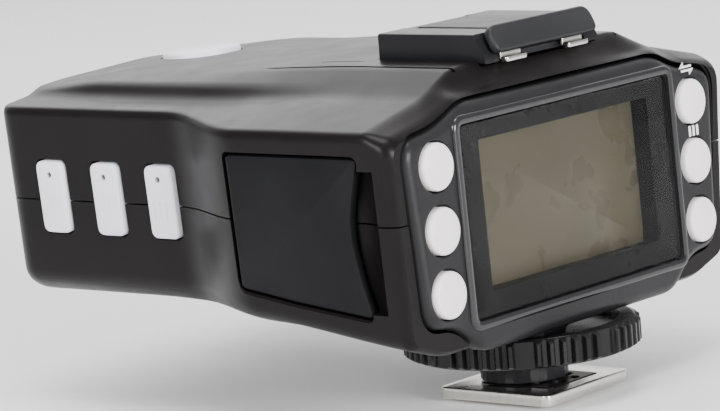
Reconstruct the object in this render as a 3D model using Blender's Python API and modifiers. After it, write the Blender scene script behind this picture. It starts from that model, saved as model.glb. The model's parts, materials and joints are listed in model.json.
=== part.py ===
"""Wireless flash trigger for a camera's hot shoe.

All sizes are in millimetres in this file; MM turns them into Blender's metres.
Frame: origin at the middle of the foot plate's underside, +Z up, -Y towards the photographer
(the display side), +Y towards the lens, +X to the photographer's right.
"""

import math

import bmesh
import bpy
from mathutils import Euler, Matrix, Vector

MM = 0.001

# Foot and locking wheel
FOOT_WIDTH = 18.6
FOOT_LENGTH = 18.4
FOOT_THICK = 1.6
POST_Y = 1.6
POST_RADIUS = 6.0
WHEEL_RADIUS = 16.2
WHEEL_BOTTOM = 5.6
WHEEL_TOP = 9.5
WASHER_BOTTOM = 4.5
PIN_Y = 6.9
RIB_GROUPS = 8
RIBS_PER_GROUP = 6
RIB_PITCH = math.radians(6.3)

# Casing
WALL = 2.2
SEAM_Z = 28.8
SEAM_GAP = 0.2
REAR_Y = -8.0
FRONT_Y = 67.9
NOSE_RADIUS = 4.0
NOSE_EDGE = 1.4
REAR_HALF = 37.6
NOSE_HALF = 30.8
WAIST_START = 17.5
WAIST_END = 35.5
DRAFT = math.tan(math.radians(4.3))
RIDGE_X = 23.0
CREASE_X = 25.2
DECK_X = 18.0

# Rear panel
FACE_Y = -8.85
FACE_Z = 27.1
FACE_TILT = math.radians(2.0)
PANEL_THICK = 3.0
PANEL_GAP = 0.45
LENS_SIZE = (46.0, 25.2)
LENS_THICK = 1.2
KEY_X = 28.5
KEY_PITCH = 8.29
KEY_RADIUS = 3.1
KEY_TRAVEL = 0.5

# Group keys on the left side of the nose
GROUP_KEY_Y = (37.7, 47.7, 57.9)
GROUP_KEY_Z = 29.3
GROUP_KEY_SIZE = (5.0, 10.1)

# Test key on the roof
TEST_KEY_Y = 55.6
TEST_KEY_RADIUS = 5.6
TEST_KEY_TILT = math.radians(-4.0)

# Accessory shoe on the roof
SHOE_FRONT = 12.6
SHOE_REAR = -5.2
SHOE_FLOOR = 47.0
SHOE_HALF = 12.5
SLOT_HALF = 9.4
LIP_HALF = 6.3
SLOT_HEIGHT = 2.15
FLANGE_THICK = 0.9

# Contacts, shared by the shoe and, set back a little, by the foot: (x, y, radius)
CONTACT_PLACES = ((0.0, 4.6, 1.5), (-3.0, 1.0, 0.8), (3.0, 1.0, 0.8), (-1.5, -1.2, 0.8), (1.5, -1.2, 0.8))

# Battery bay
CELL_RADIUS = 7.05
CELL_X = 7.6
CELL_Z = 24.7
CELL_REAR = 13.3
CELL_LENGTH = 49.2
DOOR_HALF = 15.6
DOOR_REAR = 18.9
HINGE_Y = 62.3
HINGE_RADIUS = 1.0
FIT = 0.35

# Port flap on the left side
FLAP_FRONT = 19.9
FLAP_THICK = 1.3
FLAP_TOP_Z = 37.4


# ---------------------------------------------------------------- helpers


def new_collection(name):
    collection = bpy.data.collections.new(name)
    bpy.context.scene.collection.children.link(collection)
    return collection


for old in list(bpy.data.objects):
    bpy.data.objects.remove(old, do_unlink=True)
PARTS = new_collection("wireless_flash_trigger")
CUTTERS = new_collection("cutters")


def material(name, colour, roughness, metallic=0.0):
    made = bpy.data.materials.new(name)
    made.use_nodes = True
    shader = made.node_tree.nodes["Principled BSDF"]
    shader.inputs["Base Color"].default_value = (*colour, 1.0)
    shader.inputs["Roughness"].default_value = roughness
    shader.inputs["Metallic"].default_value = metallic
    return made


SHELL_BLACK = material("shell_black", (0.045, 0.042, 0.045), 0.42)
PANEL_GREY = material("panel_grey", (0.075, 0.072, 0.075), 0.45)
KEY_WHITE = material("key_white", (0.86, 0.84, 0.85), 0.5)
LENS_BLACK = material("lens_black", (0.02, 0.02, 0.022), 0.08)
LCD_GREEN = material("lcd_green", (0.16, 0.15, 0.10), 0.3)
RUBBER_BLACK = material("rubber_black", (0.03, 0.03, 0.032), 0.7)
CHROME = material("chrome", (0.75, 0.73, 0.70), 0.18, 1.0)
STEEL = material("steel", (0.62, 0.62, 0.63), 0.3, 1.0)
SHOE_BLACK = material("shoe_black", (0.09, 0.09, 0.095), 0.35, 0.6)
BOARD_GREEN = material("board_green", (0.03, 0.16, 0.07), 0.5)
BRASS = material("brass", (0.72, 0.55, 0.26), 0.3, 1.0)
CELL_WRAP = material("cell_wrap", (0.16, 0.17, 0.20), 0.35)
LED_CLEAR = material("led_clear", (0.55, 0.10, 0.08), 0.2)


def link(name, mesh, paint, collection=None):
    made = bpy.data.objects.new(name, mesh)
    (collection or PARTS).objects.link(made)
    if paint is not None:
        mesh.materials.clear()
        mesh.materials.append(paint)
    if collection is CUTTERS:
        made.hide_render = True
        made.display_type = "WIRE"
    return made


def finish_mesh(name, bm):
    """A closed, outward-facing mesh in metres, from a bmesh in millimetres."""
    bmesh.ops.recalc_face_normals(bm, faces=bm.faces)
    bmesh.ops.scale(bm, vec=(MM, MM, MM), verts=bm.verts)
    mesh = bpy.data.meshes.new(name)
    bm.to_mesh(mesh)
    bm.free()
    return mesh


def solid_from(shape):
    """The closed mesh that a curve or a modified object evaluates to. The object itself is removed."""
    graph = bpy.context.evaluated_depsgraph_get()
    mesh = bpy.data.meshes.new_from_object(shape.evaluated_get(graph))
    bpy.data.objects.remove(shape)
    bm = bmesh.new()
    bm.from_mesh(mesh)
    bmesh.ops.remove_doubles(bm, verts=bm.verts, dist=1e-7)
    bmesh.ops.recalc_face_normals(bm, faces=bm.faces)
    bm.to_mesh(mesh)
    bm.free()
    return mesh


def box(name, low, high, paint, collection=None):
    low, high = Vector(low), Vector(high)
    bm = bmesh.new()
    bmesh.ops.create_cube(bm, size=1.0)
    bmesh.ops.scale(bm, vec=high - low, verts=bm.verts)
    bmesh.ops.translate(bm, vec=(low + high) / 2, verts=bm.verts)
    return link(name, finish_mesh(name, bm), paint, collection)


def rod(name, radius, start, end, paint, collection=None, sides=24):
    """A cylinder from one point to another."""
    start, end = Vector(start), Vector(end)
    bm = bmesh.new()
    bmesh.ops.create_cone(
        bm, cap_ends=True, segments=sides, radius1=radius, radius2=radius, depth=(end - start).length
    )
    turn = Vector((0, 0, 1)).rotation_difference(end - start).to_matrix().to_4x4()
    bmesh.ops.transform(bm, matrix=Matrix.Translation((start + end) / 2) @ turn, verts=bm.verts)
    return link(name, finish_mesh(name, bm), paint, collection)


def turned(name, profile, paint, steps=24, collection=None):
    """A solid of revolution about Z. The profile is (radius, height) pairs, from the axis to the axis."""
    bm = bmesh.new()
    points = [bm.verts.new((r * MM, 0, z * MM)) for r, z in profile]
    for a, b in zip(points, points[1:]):
        bm.edges.new((a, b))
    mesh = bpy.data.meshes.new(name)
    bm.to_mesh(mesh)
    bm.free()
    shape = bpy.data.objects.new(name + "_profile", mesh)
    bpy.context.scene.collection.objects.link(shape)
    screw = shape.modifiers.new("turn", "SCREW")
    screw.steps = steps
    screw.render_steps = steps
    screw.use_merge_vertices = True
    screw.merge_threshold = 1e-6
    return link(name, solid_from(shape), paint, collection)


def rounded(corners, steps=4):
    """Points of an outline whose corners are (x, y, radius), each rounded by a short curve."""
    points = []
    count = len(corners)
    for i, (x, y, radius) in enumerate(corners):
        here = Vector((x, y))
        before = Vector(corners[i - 1][:2]) - here
        after = Vector(corners[(i + 1) % count][:2]) - here
        if radius <= 0:
            points.append(here)
            continue
        reach = min(radius, 0.49 * before.length, 0.49 * after.length)
        first = here + before.normalized() * reach
        last = here + after.normalized() * reach
        for k in range(steps + 1):
            t = k / steps
            points.append(first * (1 - t) ** 2 + here * 2 * t * (1 - t) + last * t * t)
    return points


def rectangle(width, height, radius, centre=(0, 0), steps=4):
    x, y = width / 2, height / 2
    corners = [(x, y), (-x, y), (-x, -y), (x, -y)]
    return rounded([(centre[0] + a, centre[1] + b, radius) for a, b in corners], steps)


def circle(radius, sides=24, centre=(0, 0)):
    return [
        Vector((centre[0] + radius * math.cos(math.tau * i / sides), centre[1] + radius * math.sin(math.tau * i / sides)))
        for i in range(sides)
    ]


def grow(points, distance):
    """The outline moved outwards by distance, with mitred corners. The points run anticlockwise."""
    area = sum(a.x * b.y - b.x * a.y for a, b in zip(points, points[1:] + points[:1]))
    side = 1.0 if area > 0 else -1.0
    moved = []
    for i, here in enumerate(points):
        a = (here - points[i - 1]).normalized()
        b = (points[(i + 1) % len(points)] - here).normalized()
        normal = Vector((a.y + b.y, -a.x - b.x)) * side
        scale = max(normal.length_squared / 2, 0.5)
        moved.append(here + normal * distance / scale)
    return moved


def plate(name, outlines, low, high, paint, collection=None):
    """A flat piece from low to high in Z: the first outline is its edge, the others are holes."""
    curve = bpy.data.curves.new(name, "CURVE")
    curve.dimensions = "2D"
    curve.fill_mode = "BOTH"
    curve.extrude = (high - low) / 2 * MM
    for outline in outlines:
        spline = curve.splines.new("POLY")
        spline.points.add(len(outline) - 1)
        for point, target in zip(spline.points, outline):
            point.co = (target[0] * MM, target[1] * MM, 0, 1)
        spline.use_cyclic_u = True
    shape = bpy.data.objects.new(name + "_curve", curve)
    bpy.context.scene.collection.objects.link(shape)
    mesh = solid_from(shape)
    mesh.transform(Matrix.Translation((0, 0, (low + high) / 2 * MM)))
    return link(name, mesh, paint, collection)


def place(obj, matrix):
    """Stands an object in a frame whose matrix is in millimetres."""
    scaled = matrix.copy()
    scaled.translation = matrix.translation * MM
    obj.matrix_world = scaled
    return obj


def set_origin(obj, point):
    """Moves an object's origin to a point, leaving its shape where it is."""
    target = Matrix.Translation(Vector(point) * MM)
    obj.data.transform(target.inverted() @ obj.matrix_world)
    obj.matrix_world = target
    return obj


def copy_mesh(obj, name):
    made = bpy.data.objects.new(name, obj.data.copy())
    made.matrix_world = obj.matrix_world
    PARTS.objects.link(made)
    return made


def apply_boolean(obj, cutter, operation):
    """Cuts, joins or intersects obj with a cutter, and keeps the result as plain mesh."""
    modifier = obj.modifiers.new(operation, "BOOLEAN")
    modifier.operation = operation
    modifier.object = cutter
    modifier.solver = "EXACT"
    graph = bpy.context.evaluated_depsgraph_get()
    graph.update()
    mesh = bpy.data.meshes.new_from_object(obj.evaluated_get(graph))
    obj.modifiers.clear()
    obj.data = mesh
    return obj


def cut(obj, *cutters):
    for cutter in cutters:
        apply_boolean(obj, cutter, "DIFFERENCE")
    return obj


def join(obj, *others):
    """Adds others to obj as one body and removes them."""
    for other in others:
        apply_boolean(obj, other, "UNION")
        bpy.data.objects.remove(other)
    return obj


def smoothstep(value, start, end):
    t = min(max((value - start) / (end - start), 0.0), 1.0)
    return t * t * (3 - 2 * t)


def mix(a, b, t):
    return a + (b - a) * t


# ---------------------------------------------------------------- casing form


def half_width(y):
    """Half the body's width at the wall's top edge: wide at the display, narrow at the nose."""
    return mix(REAR_HALF, NOSE_HALF, smoothstep(y, WAIST_START, WAIST_END))


def wall_top(y):
    return mix(40.7, 41.7, smoothstep(y, WAIST_START, WAIST_END))


def wall_foot(y):
    """Height of the wall's bottom edge, which rises from the display towards the nose."""
    return 12.3 + 4.2 * smoothstep(y, -16.0, 26.0) + 0.9 * smoothstep(y, 20.0, 44.0)


def wall_x(y, z):
    """The side wall's outer surface at a height, drawn in towards the bottom."""
    return half_width(y) - (wall_top(y) - z) * DRAFT


def roof_height(y):
    deck = 46.9 - 0.7 * smoothstep(y, 10.0, 36.0)
    return deck - 1.0 * smoothstep(y, 30.0, 60.0) - 0.9 * smoothstep(y, 56.0, 70.0)


def section(y, inset):
    """Half outline of the body at a station, from the underside's middle round to the roof's middle."""
    top = wall_top(y)
    foot = wall_foot(y)
    nose = smoothstep(y, 8.0, 34.0)
    hood = 1.0 - smoothstep(y, REAR_Y, -3.6)
    chamfer = mix(7.2, 3.3, nose)
    ridge = mix(44.4, 43.4, smoothstep(y, 54.0, 67.0)) - 1.2 * hood
    crease = mix(43.5, 42.4, nose) - 2.3 * hood
    roof = mix(roof_height(y), 43.4, hood)
    deck = mix(mix(roof - 0.3, ridge + 0.4, smoothstep(y, 24.0, 62.0)), 43.3, hood)
    corners = [
        (0.0, foot - 2.3, 2.0),
        (wall_x(y, foot) - chamfer, foot - 2.3, 2.0),
        (wall_x(y, foot), foot, 1.6),
        (wall_x(y, top) - 0.4 * hood, top - 0.9 * hood, mix(1.5, 2.6, hood)),
        (mix(CREASE_X, 27.3, hood), crease, mix(1.6, 2.5, hood)),
        (mix(RIDGE_X, 22.4, hood), ridge, 1.2),
        (DECK_X, deck, 1.5),
        (0.0, roof, 2.0),
    ]
    mirrored = [(-x, z, radius) for x, z, radius in reversed(corners[1:-1])]
    whole = corners + mirrored
    points = grow([Vector(corner[:2]) for corner in whole], -inset)
    drawn = [(point.x, point.y, max(corner[2] - inset / 3, 0.3)) for point, corner in zip(points, whole)]
    return rounded(drawn, 3)


def rounding(distance, radius):
    """How far a section draws in at a distance from the body's end, to round that end."""
    if distance >= radius:
        return 0.0
    return radius - math.sqrt(radius**2 - (radius - distance) ** 2)


def loft(name, stations, paint, collection=None):
    """A closed solid through (y, outline) stations that have the same number of points."""
    bm = bmesh.new()
    rings = [[bm.verts.new((p.x, y, p.y)) for p in outline] for y, outline in stations]
    for a, b in zip(rings, rings[1:]):
        for i in range(len(a)):
            j = (i + 1) % len(a)
            bm.faces.new((a[i], a[j], b[j], b[i]))
    bm.faces.new(rings[0])
    bm.faces.new(list(reversed(rings[-1])))
    bmesh.ops.triangulate(bm, faces=bm.faces)
    return link(name, finish_mesh(name, bm), paint, collection)


def body_stations():
    """Stations of the outer form, closer together where it curves."""
    ys = [REAR_Y, -7.5, -6.8, -6.0, -5.2, -4.4, -3.6, 2.0, 10.0]
    ys += [WAIST_START + 2.6 * i for i in range(8)]
    ys += [42.0, 50.0, 56.0, 60.5, FRONT_Y - NOSE_RADIUS]
    ys += [FRONT_Y - NOSE_RADIUS * (1 - math.sin(a)) for a in (0.4, 0.75, 1.05, 1.3)]
    return ys


def nose_section(y, inset_x, inset_z):
    """The section near the nose, drawn in sideways by one amount and up and down by another."""
    outline = section(y, 0)
    middle = 29.5
    wide = max(p.x for p in outline)
    tall = max(abs(p.y - middle) for p in outline)
    return [Vector((p.x * (1 - inset_x / wide), middle + (p.y - middle) * (1 - inset_z / tall))) for p in outline]


def outer_form(name, collection=None):
    stations = []
    for y in body_stations():
        if y > FRONT_Y - NOSE_RADIUS:
            plan = rounding(FRONT_Y - y, NOSE_RADIUS)
            edge = rounding(FRONT_Y - y, NOSE_EDGE)
            stations.append((y, nose_section(y, plan, edge)))
        else:
            stations.append((y, section(y, rounding(y - REAR_Y + 0.4, 2.0))))
    stations.append((FRONT_Y, nose_section(FRONT_Y, NOSE_RADIUS - 0.3, NOSE_EDGE)))
    return loft(name, stations, SHELL_BLACK, collection)


def inner_form(name):
    stations = [(y, section(y, WALL)) for y in (-6.6, -3.6, 8.0, 18.0, 22.6, 27.2, 33.0, 46.0, 61.4)]
    last = FRONT_Y - WALL
    stations.append((last - 2.0, [Vector((p.x * 0.95, p.y)) for p in section(last - 2.0, WALL)]))
    stations.append((last, [Vector((p.x * 0.86, p.y)) for p in section(last, WALL + 0.5)]))
    return loft(name, stations, None, CUTTERS)


# ---------------------------------------------------------------- local frames


def face_frame(x=0.0, z=0.0, depth=0.0):
    """Matrix from a part's own XY plane, with +Z outwards, to the tilted rear panel."""
    turn = Euler((math.pi / 2 - FACE_TILT, 0, 0)).to_matrix().to_4x4()
    centre = Vector((0, FACE_Y, FACE_Z))
    return Matrix.Translation(centre) @ turn @ Matrix.Translation((x, z, -depth))


def wall_frame(y, z, depth=0.0, side=-1):
    """Matrix from a part's own XY plane to the side wall: local X runs along -Y on the left side,
    local Y up the wall, and local Z outwards."""
    slope = math.atan(DRAFT)
    outward = Vector((side * math.cos(slope), 0, -math.sin(slope)))
    up = Vector((side * math.sin(slope), 0, math.cos(slope)))
    along = up.cross(outward)
    origin = Vector((side * wall_x(y, z), y, z)) - outward * depth
    frame = Matrix((along, up, outward)).transposed().to_4x4()
    frame.translation = origin
    return frame


def roof_frame(y, z, tilt, depth=0.0):
    turn = Euler((tilt, 0, 0)).to_matrix().to_4x4()
    return Matrix.Translation((0, y, z)) @ turn @ Matrix.Translation((0, 0, -depth))


# ---------------------------------------------------------------- outlines


def panel_outline():
    """The rear panel's outline about its own centre: key wings and a taller middle."""
    right = [
        (21.6, 42.7, 2.0), (27.2, 40.2, 3.0), (34.6, 39.3, 3.2), (32.5, 14.6, 3.4),
        (26.2, 14.2, 3.0), (21.5, 9.9, 2.2),
    ]
    corners = right + [(-x, z, r) for x, z, r in reversed(right)]
    shifted = [(x, z - FACE_Z, r) for x, z, r in corners]
    return list(reversed(rounded(shifted, 4)))


def flap_outline(extra=0.0):
    """The port flap's outline on the left wall: (distance behind its front edge, height above FLAP_TOP_Z)."""
    corners = [
        (0.0, 0.0, 0.6), (0.0, -17.9, 1.2), (9.6, -19.4, 1.5), (22.0, -20.9, 0.8),
        (20.6, -16.0, 2.0), (19.6, -9.0, 4.0), (22.4, 0.0, 1.0),
    ]
    outline = rounded(corners, 3)
    return grow(outline, extra) if extra else outline


def key_places():
    """(name, x, height) of the six round keys on the rear panel, about its centre."""
    rows = (("top", KEY_PITCH), ("middle", 0.0), ("bottom", -KEY_PITCH))
    for side, x in (("left", -KEY_X), ("right", KEY_X)):
        for row, height in rows:
            yield f"{side}_{row}_key", x, height


# ---------------------------------------------------------------- casings


def door_cutter(name, extra):
    low = (-DOOR_HALF - extra, DOOR_REAR - extra, 8.0)
    high = (DOOR_HALF + extra, HINGE_Y + extra * 0.0, 19.0)
    return box(name, low, high, None, CUTTERS)


def hinge_height():
    """Height of the door's hinge axis: the middle of the floor's thickness."""
    return wall_foot(HINGE_Y) - 2.3 + HINGE_RADIUS + 0.05


def make_casings():
    shell = outer_form("shell")
    cavity = inner_form("cavity")
    opening = plate("panel_opening", [grow(panel_outline(), PANEL_GAP)], -PANEL_THICK - 0.6, 6.0, None, CUTTERS)
    place(opening, face_frame())
    door_opening = door_cutter("door_opening", FIT)
    floor_slab = outer_form("floor_slab")
    cut(shell, cavity)

    hinge_z = hinge_height()
    door = copy_mesh(floor_slab, "battery_door")
    cut(door, place(plate("door_core", [[Vector((-40, -20)), Vector((40, -20)), Vector((40, 80)), Vector((-40, 80))]],
                          wall_foot(40) - 0.2, 60.0, None, CUTTERS), Matrix.Identity(4)))
    apply_boolean(door, door_cutter("door_blank", 0.0), "INTERSECT")
    join(door, rod("door_barrel", HINGE_RADIUS, (-DOOR_HALF, HINGE_Y, hinge_z), (DOOR_HALF, HINGE_Y, hinge_z), None, sides=16))
    join(door, box("door_rib", (-10, DOOR_REAR + 1.2, 15.9), (10, DOOR_REAR + 2.4, 17.2), None))
    cut(door, box("door_grip", (-5, DOOR_REAR + 4.0, 8.0), (5, DOOR_REAR + 5.4, 15.1), None, CUTTERS))
    bpy.data.objects.remove(floor_slab)

    cut(shell, opening, door_opening)
    cut(shell, rod("hinge_clear", HINGE_RADIUS + FIT, (-DOOR_HALF - FIT, HINGE_Y, hinge_z),
                   (DOOR_HALF + FIT, HINGE_Y, hinge_z), None, CUTTERS, 16))
    lower_keep = box("lower_keep", (-60, -30, -10), (60, 90, SEAM_Z - SEAM_GAP / 2), None, CUTTERS)
    upper_keep = box("upper_keep", (-60, -30, SEAM_Z + SEAM_GAP / 2), (60, 90, 80), None, CUTTERS)
    upper = copy_mesh(shell, "top_casing")
    apply_boolean(upper, upper_keep, "INTERSECT")
    lower = copy_mesh(shell, "bottom_casing")
    apply_boolean(lower, lower_keep, "INTERSECT")
    bpy.data.objects.remove(shell)
    return upper, lower, door


def fit_lower(lower):
    """Foot collar, hinge ears, screw bosses and the side openings of the bottom casing."""
    join(lower, rod("foot_collar", 12.0, (0, POST_Y, 10.1), (0, POST_Y, 14.3), None, sides=32))
    cut(lower, rod("post_bore", POST_RADIUS + 0.3, (0, POST_Y, 5), (0, POST_Y, 20), None, CUTTERS, 32))
    panel_back = plate("collar_trim", [grow(panel_outline(), PANEL_GAP)], -PANEL_THICK - 0.6, 8.0, None, CUTTERS)
    cut(lower, place(panel_back, face_frame()))
    hinge_z = hinge_height()
    for side in (-1, 1):
        inner, outer = side * (DOOR_HALF + FIT), side * (DOOR_HALF + 3.2)
        ear = box("hinge_ear", (min(inner, outer), HINGE_Y - 2.2, 15.9), (max(inner, outer), HINGE_Y + 1.8, 18.4), None)
        join(lower, ear)
        cut(lower, rod("pin_hole", 0.75, (side * (DOOR_HALF - 1), HINGE_Y, hinge_z),
                       (side * (DOOR_HALF + 2.4), HINGE_Y, hinge_z), None, CUTTERS, 12))
    for x, y in SCREW_PLACES:
        top = SEAM_Z - SEAM_GAP / 2
        join(lower, rod("screw_boss", 2.6, (x, y, wall_foot(y) - 0.7), (x, y, top - 0.3), None, sides=12))
        cut(lower, rod("screw_hole", 1.4, (x, y, 5), (x, y, 40), None, CUTTERS, 10))
        cut(lower, rod("screw_sink", 2.2, (x, y, 5), (x, y, wall_foot(y) - 0.4), None, CUTTERS, 12))


SCREW_PLACES = ((-19.5, 60.6), (19.5, 60.6), (-24.2, 4.8), (24.2, 4.8))


def fit_upper(upper):
    """Screw posts, shoe seat and test key opening of the top casing."""
    for x, y in SCREW_PLACES:
        join(upper, rod("screw_post", 2.6, (x, y, SEAM_Z + SEAM_GAP / 2), (x, y, 42.4), None, sides=12))
        cut(upper, rod("post_hole", 1.3, (x, y, 20), (x, y, 37.0), None, CUTTERS, 10))
    seat = box("shoe_seat", (-SHOE_HALF - 0.3, -6.9, SHOE_FLOOR - 1.1), (SHOE_HALF + 0.3, SHOE_FRONT + 0.3, 60), None, CUTTERS)
    pad = box("shoe_pad", (-14.5, -4.3, SHOE_FLOOR - 2.9), (14.5, SHOE_FRONT + 2.0, SHOE_FLOOR - 0.9), None)
    join(upper, pad)
    cut(upper, seat)
    hole = rod("test_hole", TEST_KEY_RADIUS + 0.3, (0, 0, -6), (0, 0, 6), None, CUTTERS, 32)
    cut(upper, place(hole, roof_frame(TEST_KEY_Y, roof_height(TEST_KEY_Y), TEST_KEY_TILT)))


def cut_sides(upper, lower):
    """Openings that cross the seam: group keys, port flap with its finger scoop, and power switch."""
    width, height = GROUP_KEY_SIZE
    for y in GROUP_KEY_Y:
        hole = plate("group_hole", [rectangle(width + 0.6, height + 0.6, 1.3)], -5, 5, None, CUTTERS)
        place(hole, wall_frame(y, GROUP_KEY_Z))
        cut(upper, hole)
        cut(lower, hole)
    recess = plate("flap_recess", [flap_outline(0.3)], -FLAP_THICK - 0.3, 4, None, CUTTERS)
    place(recess, flap_frame())
    usb_hole = plate("usb_hole", [rectangle(9.0, 5.0, 0.8)], -6, 2, None, CUTTERS)
    place(usb_hole, wall_frame(*USB_PLACE))
    jack_hole = plate("jack_hole", [circle(3.4, 20)], -6, 2, None, CUTTERS)
    place(jack_hole, wall_frame(*JACK_PLACE))
    scoop = rod("finger_scoop", 4.2, (21.2, -20.2, 2.45), (21.4, -1.4, 2.45), None, CUTTERS, 28)
    place(scoop, flap_frame())
    switch_slot = plate("switch_slot", [rectangle(8.4, 3.4, 1.2)], -5, 5, None, CUTTERS)
    place(switch_slot, wall_frame(*SWITCH_PLACE, side=1))
    for casing in (upper, lower):
        cut(casing, recess, scoop, usb_hole, jack_hole)
    cut(lower, switch_slot)


USB_PLACE = (12.0, 32.6)
JACK_PLACE = (6.0, 22.4)
SWITCH_PLACE = (9.4, 23.6)


def flap_frame(depth=0.0):
    """The flap's own frame: origin at its front top corner, local X towards the rear."""
    return wall_frame(FLAP_FRONT, FLAP_TOP_Z, depth)


# ---------------------------------------------------------------- rear panel


def make_panel():
    width, height = LENS_SIZE
    outline = panel_outline()
    holes = [circle(KEY_RADIUS + 0.25, 24, (x, h)) for _, x, h in key_places()]
    window = rectangle(width - 2.6, height - 2.2, 1.0)
    panel = plate("rear_panel", [outline, window, *holes], -PANEL_THICK, 0.0, PANEL_GREY)
    rim = plate("lens_rim", [rectangle(width + 3.2, height + 3.0, 2.0), rectangle(width + 0.5, height + 0.5, 1.2)],
                -1.0, 0.45, PANEL_GREY)
    join(panel, rim)
    cut(panel, plate("lens_seat", [rectangle(width + 0.5, height + 0.5, 1.2)], -LENS_THICK - 0.15, 2.0, None, CUTTERS))
    place(panel, face_frame())
    lens = plate("display_lens", [rectangle(width, height, 1.0)], -LENS_THICK, 0.1, LENS_BLACK)
    place(lens, face_frame())
    lcd = plate("lcd_panel", [rectangle(42.0, 21.4, 0.3, (0, 0.5))], -5.2, -3.4, LCD_GREEN)
    place(lcd, face_frame())
    frame = plate("lcd_backlight", [rectangle(41.0, 20.6, 0.8, (0, 0.5))], -7.2, -5.5, KEY_WHITE)
    place(frame, face_frame())
    board = plate("key_board", [rectangle(63.0, 21.6, 1.0, (0, 0.8))], -9.2, -8.2, BOARD_GREEN)
    for _, x, height in key_places():
        join(board, box("switch", (x - 2.0, height - 2.0, -8.4), (x + 2.0, height + 2.0, -5.6), None))
    place(board, face_frame())


def make_panel_keys():
    profile = [(0, -3.0 - 2.0), (1.3, -5.0), (1.3, -4.1), (3.6, -4.1), (3.6, -3.35), (KEY_RADIUS, -3.35),
               (KEY_RADIUS, 0.45), (KEY_RADIUS - 0.35, 0.75), (0, 0.85)]
    for name, x, height in key_places():
        place(turned(name, profile, KEY_WHITE, 16), face_frame(x, height))


# ---------------------------------------------------------------- side keys, flap, switch


def make_group_keys():
    width, height = GROUP_KEY_SIZE
    for letter, y in zip("cba", GROUP_KEY_Y):
        name = f"group_{letter}_key"
        key = plate(name, [rectangle(width, height, 1.1)], -WALL - 0.6, 0.6, KEY_WHITE)
        join(key, plate("key_flange", [rectangle(width + 1.6, height + 1.6, 1.2)], -WALL - 1.1, -WALL - 0.35, None))
        cut(key, plate("light_hole", [circle(0.55, 10, (0, 3.2))], -6, 3, None, CUTTERS))
        place(key, wall_frame(y, GROUP_KEY_Z))
    board_y = GROUP_KEY_Y[1]
    side_board = plate("group_key_board", [rectangle(28.0, 12.6, 0.5)], -6.6, -5.6, BOARD_GREEN)
    for y in GROUP_KEY_Y:
        x = board_y - y
        join(side_board, box("light", (x - 0.8, 2.6, -5.8), (x + 0.8, 3.8, -4.4), None))
        join(side_board, box("switch", (x - 1.8, -4.4, -5.8), (x + 1.8, -0.4, -4.3), None))
    place(side_board, wall_frame(board_y, GROUP_KEY_Z))


def make_flap():
    outline = flap_outline()
    flap = plate("port_flap", [outline], -FLAP_THICK, 0.0, RUBBER_BLACK)
    front_trim = box("flap_trim", (-2, -30, -4), (FLAP_THICK / 2, 3, 3), None, CUTTERS)
    cut(flap, front_trim)
    half = FLAP_THICK / 2
    join(flap, rod("flap_knuckle", half, (half, -0.3, -half), (half, -17.6, -half), None, sides=12))
    place(flap, flap_frame())
    set_origin(flap, flap_frame() @ Vector((half, 0, -half)))


def make_ports():
    usb = box("usb_socket", (-4.0, -2.0, -9.5), (4.0, 2.0, -2.0), STEEL)
    cut(usb, box("usb_mouth", (-3.4, -1.4, -8.5), (3.4, 1.4, 1.0), None, CUTTERS))
    join(usb, box("usb_tongue", (-2.4, -0.35, -9.0), (2.4, 0.35, -2.8), None))
    place(usb, wall_frame(*USB_PLACE))
    jack = rod("sync_jack", 3.0, (0, 0, -8.2), (0, 0, -2.2), BRASS, sides=20)
    cut(jack, rod("jack_bore", 1.3, (0, 0, -7.2), (0, 0, 2), None, CUTTERS, 16))
    place(jack, wall_frame(*JACK_PLACE))


def make_power_switch():
    knob = plate("power_switch", [rectangle(4.0, 2.7, 0.9)], -2.9, 0.8, SHOE_BLACK)
    join(knob, plate("switch_skirt", [rectangle(8.0, 5.4, 0.4)], -3.6, -2.6, None))
    place(knob, wall_frame(SWITCH_PLACE[0] - 1.8, SWITCH_PLACE[1], side=1))
    body = plate("switch_body", [rectangle(13.0, 6.4, 0.4)], -7.4, -4.0, STEEL)
    place(body, wall_frame(*SWITCH_PLACE, side=1))


# ---------------------------------------------------------------- roof


def make_test_key():
    radius = TEST_KEY_RADIUS
    profile = [(0, -4.6), (1.5, -4.6), (1.5, -3.5), (radius + 0.9, -3.5), (radius + 0.9, -2.7), (radius, -2.7),
               (radius, 0.35), (radius - 0.4, 0.7), (0, 0.9)]
    key = turned("test_key", profile, KEY_WHITE, 24)
    place(key, roof_frame(TEST_KEY_Y, roof_height(TEST_KEY_Y), TEST_KEY_TILT))


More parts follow.
